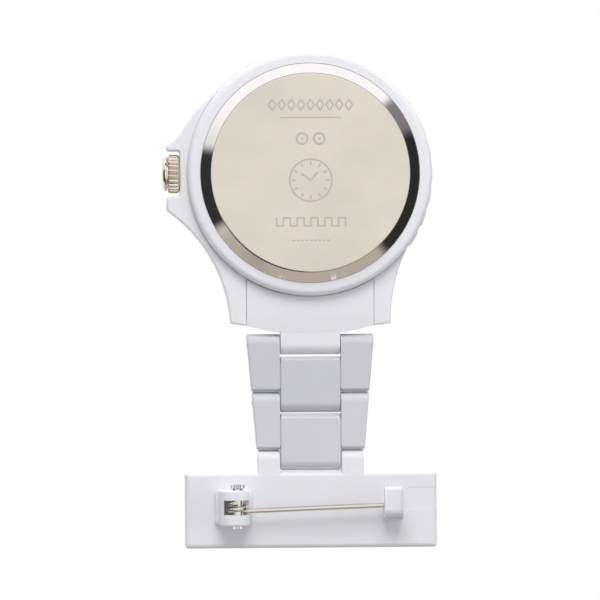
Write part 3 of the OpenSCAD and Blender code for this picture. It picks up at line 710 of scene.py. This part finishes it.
def bezel():
    """Turning bezel with grip notches."""
    notches, cutter_r, cutter_at = 34, 1.25, BEZEL_R + 1.0

    def notched(r, z, a):
        step = 2 * math.pi / notches
        off = (a % step) - step / 2
        side = cutter_at * math.sin(off)
        if abs(side) >= cutter_r:
            return r
        return min(r, cutter_at * math.cos(off) - math.sqrt(cutter_r ** 2 - side ** 2))

    profile = rounded([(17.75, 4.95), (18.5, 4.95), (18.5, 4.35), (BEZEL_R, 4.35), (BEZEL_R, 5.95),
                       (18.95, 7), (17.75, 7)], [0, 0, 0.1, 0.35, 0.3, 0.25, 0.2], 5)
    return lathe(profile, notches * 20, notched)


def number(text, x, y, size, z, depth, turn=0.0):
    """A printed number centred at (x, y) on the plane z."""
    curve = bpy.data.curves.new("work", "FONT")
    curve.body = text
    curve.size = size
    curve.align_x = "CENTER"
    curve.align_y = "CENTER"
    curve.extrude = depth / 2
    obj = bpy.data.objects.new("work", curve)
    bpy.context.scene.collection.objects.link(obj)
    graph = bpy.context.evaluated_depsgraph_get()
    mesh = bpy.data.meshes.new_from_object(obj.evaluated_get(graph))
    bm = bmesh.new()
    bm.from_mesh(mesh)
    bpy.data.objects.remove(obj)
    bpy.data.meshes.remove(mesh)
    bm.transform(Matrix.Translation((x, y, z + depth / 2)) @ Matrix.Rotation(turn, 4, "Z"))
    return bm


def tick(angle, r0, r1, width, z, depth):
    """A printed stroke from r0 to r1 at an angle clockwise from twelve."""
    bm = box(-width / 2, width / 2, r0, r1, z, z + depth)
    bm.transform(Matrix.Rotation(-math.radians(angle), 4, "Z"))
    return bm


def dial_print():
    """Minute track, hour numbers and the small second round of hours."""
    z, ink = DIAL_FRONT, 0.03
    marks = []
    for i in range(60):
        long = i % 5 == 0
        marks.append(tick(6 * i, 13.5 if long else 13.9, 14.5, 0.4 if long else 0.16, z, ink))
    for hour in range(1, 13):
        a = math.radians(30 * hour)
        marks.append(number(str(hour), 11.7 * math.sin(a), 11.7 * math.cos(a), 3.1, z, ink))
        marks.append(number(str(hour + 12), 8.6 * math.sin(a), 8.6 * math.cos(a), 1.35, z, ink))
    return merge(*marks)


def bezel_print():
    """Minute strokes and tens round the bezel."""
    marks = []
    for i in range(60):
        if i % 10 == 0:
            continue
        marks.append(tick(6 * i, 18.05, 18.75, 0.22 if i % 5 == 0 else 0.12, 6.99, 0.03))
    for i in range(1, 6):
        a = math.radians(60 * i)
        marks.append(number(str(10 * i), 18.36 * math.sin(a), 18.36 * math.cos(a), 1.15, 6.99,
                            0.03, -a))
    arrow = prism([(-0.55, 18.72), (0, 17.95), (0.55, 18.72)], 6.99, 7.02)
    return merge(*marks, arrow)


def hand(angle, hub, bore, z, thick, length, wide, narrow, tail=0.0):
    """A tapered hand at an angle clockwise from twelve, with a domed hub."""
    w, n = wide / 2, narrow / 2
    blade = [(w, 0), (n, length - 2 * n), (0, length), (-n, length - 2 * n), (-w, 0)]
    if tail:
        blade += [(-w, -tail), (w, -tail)]
    body = prism(blade, z, z + thick * 0.6, 0.01, 0.04, steps=2)
    ring = lathe(rounded([(bore, z), (hub, z), (hub, z + thick), (bore, z + thick)],
                         [0, 0.03, 0.1, 0.03], 3), 64)
    hole = prism(arc((0, 0), bore, 0, 354, 59), z - 1, z + 1)
    bm = union(cut(body, hole), ring)
    bm.transform(Matrix.Rotation(-math.radians(angle), 4, "Z"))
    return bm


def crown():
    """Fluted barrel with a domed cap, about x."""
    teeth, depth, core = 22, 0.5, 2.3

    def fluted(r, z, a):
        wave = (0.5 + 0.5 * math.cos(teeth * a)) ** 0.4
        return r - depth * (1 - wave) * max(0, min(1, (r - core) / 0.3))

    barrel = lathe(rounded([(0, 20.45), (3.02, 20.45), (3.02, 22.25), (0, 22.25)],
                           [0, 0.4, 0.35, 0], 6), teeth * 12, fluted)
    neck = prism(arc((0, 0), 2.4, 0, 355, 71), 22.1, 22.5)
    cap = lathe(rounded([(0, 22.4), (2.75, 22.4), (2.75, 22.72), (2.3, 23.12), (0, 23.2)],
                        [0, 0.08, 0.16, 0.9, 0], 6), 120)
    bore = prism(arc((0, 0), 1.55, 0, 354, 59), 20, 22.35)
    bm = cut(union(barrel, neck, cap), bore)
    bm.transform(Matrix.Translation((0, 0, CROWN_Z)) @ ALONG_X)
    return bm


def build_head():
    place("case_moulding", case_body(), "white_plastic", "watch_head", ["case_body"], head=True)
    place("steel_back_plate", steel_back(), "back_steel", "watch_head", ["case_back"],
          ["etched_steel", "polished_steel"], head=True)
    place("bezel_ring", bezel(), "bezel_plastic", "bezel", ["bezel"], head=True)
    place("bezel_marks", bezel_print(), "mark_paint", "bezel", head=True)
    glass = rounded([(0, 5.77), (16.4, 5.77), (16.4, GLASS_FRONT), (0, GLASS_FRONT)],
                    [0, 0.1, 0.35, 0], 6)
    place("glass", lathe(glass), "crystal_glass", "watch_head", ["crystal"], head=True)
    ring = rounded([(15.87, 3.97), (15.87, 5.72), (15.4, 5.72), (14.7, 3.97)], [0, 0, 0.15, 0.1])
    place("inner_ring", lathe(ring), "ring_plastic", "watch_head", ["chapter_ring"], head=True)
    plate = rounded([(0.95, 3.55), (15.75, 3.55), (15.75, DIAL_FRONT), (0.95, DIAL_FRONT)],
                    [0, 0.05, 0.08, 0.05], 3)
    place("dial_plate", lathe(plate), "dial_enamel", "watch_head", ["dial"], head=True)
    place("dial_marks", dial_print(), "dial_print", "watch_head", head=True)
    place("hour_pointer", hand(HOUR_ANGLE, 1.4, 0.81, 4.15, 0.3, 8.0, 1.3, 0.9),
          "black_hand", "hours", ["hour_hand"], head=True)
    place("minute_pointer", hand(MINUTE_ANGLE, 1.15, 0.51, 4.62, 0.25, 11.8, 1.0, 0.6),
          "black_hand", "minutes", ["minute_hand"], head=True)
    place("seconds_pointer", hand(SECONDS_ANGLE, 0.75, 0.16, 5.05, 0.2, 13.0, 0.36, 0.2, 4.0),
          "red_hand", "seconds", ["seconds_hand"], head=True)
    place("crown_cap", crown(), "crown_metal", "crown", ["crown"], crisp=40, head=True)


# ---------- movement and small parts, kept as the CAD made them ----------

def dress_cad_nodes():
    """Gives every CAD node that is still shown the finish of its slot."""
    slots = {part["node"]: part["material_slot"] for part in frame["record"]["subparts"]}
    for name, node in frame["nodes"].items():
        if node.hide_render:
            continue
        node.data.materials.clear()
        node.data.materials.append(FINISH[slots[name]])


# ---------- camera, light and floor ----------

def set_camera():
    """Nearly square on to the backs, with the watch head up as it lies in the picture."""
    distance, field, azimuth, tilt = 0.7, 0.0942, 3.0, 0.3
    aim = Vector((0.00160, 0.0, -0.0330))
    lens = bpy.data.cameras.new("camera")
    lens.sensor_width = 36
    lens.lens = lens.sensor_width * distance / field
    camera = bpy.data.objects.new("camera", lens)
    upside_down = Matrix(((-1, 0, 0), (0, 0, -1), (0, -1, 0))).to_4x4()
    camera.matrix_world = (Matrix.Translation(aim) @ Matrix.Rotation(math.radians(azimuth), 4, "Z")
                           @ Matrix.Translation((0, -distance, 0)) @ upside_down
                           @ Matrix.Rotation(math.radians(-tilt), 4, "Z"))
    bpy.context.scene.collection.objects.link(camera)
    bpy.context.scene.camera = camera
    bpy.context.scene.view_settings.view_transform = "Standard"


def set_world():
    """White studio whose dark wings show only in the metals. The plastics get an even
    light from it, and the camera sees it white."""
    world = bpy.data.worlds.new("studio")
    bpy.context.scene.world = world
    world.use_nodes = True
    nodes, links = world.node_tree.nodes, world.node_tree.links
    light = nodes["Background"]
    look = nodes.new("ShaderNodeTexCoord")
    split = nodes.new("ShaderNodeSeparateXYZ")
    links.new(look.outputs["Generated"], split.inputs["Vector"])

    def ramp(value, low, high):
        node = nodes.new("ShaderNodeMapRange")
        node.interpolation_type = "SMOOTHSTEP"
        node.inputs["From Min"].default_value = low
        node.inputs["From Max"].default_value = high
        links.new(value, node.inputs["Value"])
        return node.outputs["Result"]

    def calc(operation, a, b=None):
        node = nodes.new("ShaderNodeMath")
        node.operation = operation
        for socket, value in zip(node.inputs, (a, b)):
            if isinstance(value, (int, float)):
                socket.default_value = value
            elif value is not None:
                links.new(value, socket)
        return node.outputs["Value"]

    def mix(factor, a, b):
        node = nodes.new("ShaderNodeMix")
        node.data_type = "RGBA"
        links.new(factor, node.inputs["Factor"])
        for socket, value in (("A", a), ("B", b)):
            if isinstance(value, tuple):
                node.inputs[socket].default_value = (*value, 1)
            else:
                links.new(value, node.inputs[socket])
        return node.outputs["Result"]

    def towards(x, y, z):
        node = nodes.new("ShaderNodeVectorMath")
        node.operation = "DOT_PRODUCT"
        node.inputs[1].default_value = Vector((x, y, z)).normalized()
        links.new(look.outputs["Generated"], node.inputs[0])
        return node.outputs["Value"]

    # White all round, warmer and dimmer above, brighter below
    colour = mix(ramp(split.outputs["Z"], 0.3, 0.7), (1.0, 1.0, 1.02), (0.56, 0.52, 0.47))
    colour = mix(ramp(split.outputs["Z"], -0.3, -0.7), colour, (1.25, 1.25, 1.36))

    # A grey band on the camera's side, seen in the rounded edge of the steel back's flat
    band = calc("MULTIPLY", ramp(split.outputs["Y"], -0.62, -0.5),
                ramp(split.outputs["Y"], -0.1, -0.2))
    colour = mix(band, colour, (0.30, 0.29, 0.25))

    # Dark wings at both sides and a grey haze over one, seen in the steel back's slope
    wide_wing = ramp(towards(-0.98, 0, 0.18), 0.80, 0.87)
    narrow_wing = ramp(towards(0.99, 0, 0.13), 0.89, 0.94)
    haze = ramp(towards(-0.87, 0, -0.49), 0.965, 0.988)
    beside = ramp(calc("ABSOLUTE", calc("SUBTRACT", split.outputs["Y"], 0.12)), 0.4, 0.22)
    colour = mix(calc("MULTIPLY", haze, beside), colour, (0.26, 0.25, 0.29))
    wings = calc("MULTIPLY", calc("MAXIMUM", wide_wing, narrow_wing), beside)
    colour = mix(wings, colour, (0.030, 0.030, 0.034))

    # A dark spot that draws a thin line along the lower part of that edge
    spot = ramp(towards(0.40, -0.56, 0.72), 0.86, 0.93)
    colour = mix(spot, colour, (0.01, 0.01, 0.01))

    path = nodes.new("ShaderNodeLightPath")
    colour = mix(path.outputs["Is Diffuse Ray"], colour, (0.42, 0.42, 0.43))
    colour = mix(path.outputs["Is Camera Ray"], colour, (1.0, 1.0, 1.0))
    links.new(colour, light.inputs["Color"])
    light.inputs["Strength"].default_value = 1.0


def add_lamp(name, place_at, aim, size, power):
    """A soft round lamp that lights the plastics and isn't mirrored in the metals."""
    lamp = bpy.data.lights.new(name, "AREA")
    lamp.shape = "DISK"
    lamp.size = size
    lamp.energy = power
    obj = bpy.data.objects.new(name, lamp)
    turn = (Vector(aim) - Vector(place_at)).to_track_quat("-Z", "Y")
    obj.matrix_world = Matrix.Translation(place_at) @ turn.to_matrix().to_4x4()
    obj.visible_camera = obj.visible_glossy = False
    bpy.context.scene.collection.objects.link(obj)


def set_stage():
    """Soft lamps, and a pale floor far below that lets the light under it through."""
    middle = (0, 0, -0.035)
    add_lamp("key", (0.02, -0.38, -0.47), middle, 0.40, 2.2)
    add_lamp("side", (-0.50, -0.30, -0.10), middle, 0.40, 0.5)
    add_lamp("edge", (0.10, 0.35, -0.50), middle, 0.40, 1.2)
    add_lamp("fill", (0.25, 0.5, 0.35), middle, 0.5, 1.6)
    bm = bmesh.new()
    bmesh.ops.create_circle(bm, cap_ends=True, radius=0.4, segments=96)
    mesh = bpy.data.meshes.new("floor")
    bm.to_mesh(mesh)
    bm.free()
    floor = bpy.data.objects.new("floor", mesh)
    floor.location = (0, 0, -0.16)
    paper = material("floor_paper", (0.86, 0.86, 0.86), 0.7)
    glow = paper.node_tree.nodes["Principled BSDF"].inputs
    glow["Emission Color"].default_value = (1, 1, 1, 1)
    glow["Emission Strength"].default_value = 0.45
    mesh.materials.append(paper)
    floor.visible_glossy = floor.visible_diffuse = floor.visible_shadow = False
    bpy.context.scene.collection.objects.link(floor)


# ---------- the whole scene ----------

set_camera()
set_world()
set_stage()
build_bar()
build_bracelet()
build_head()
dress_cad_nodes()
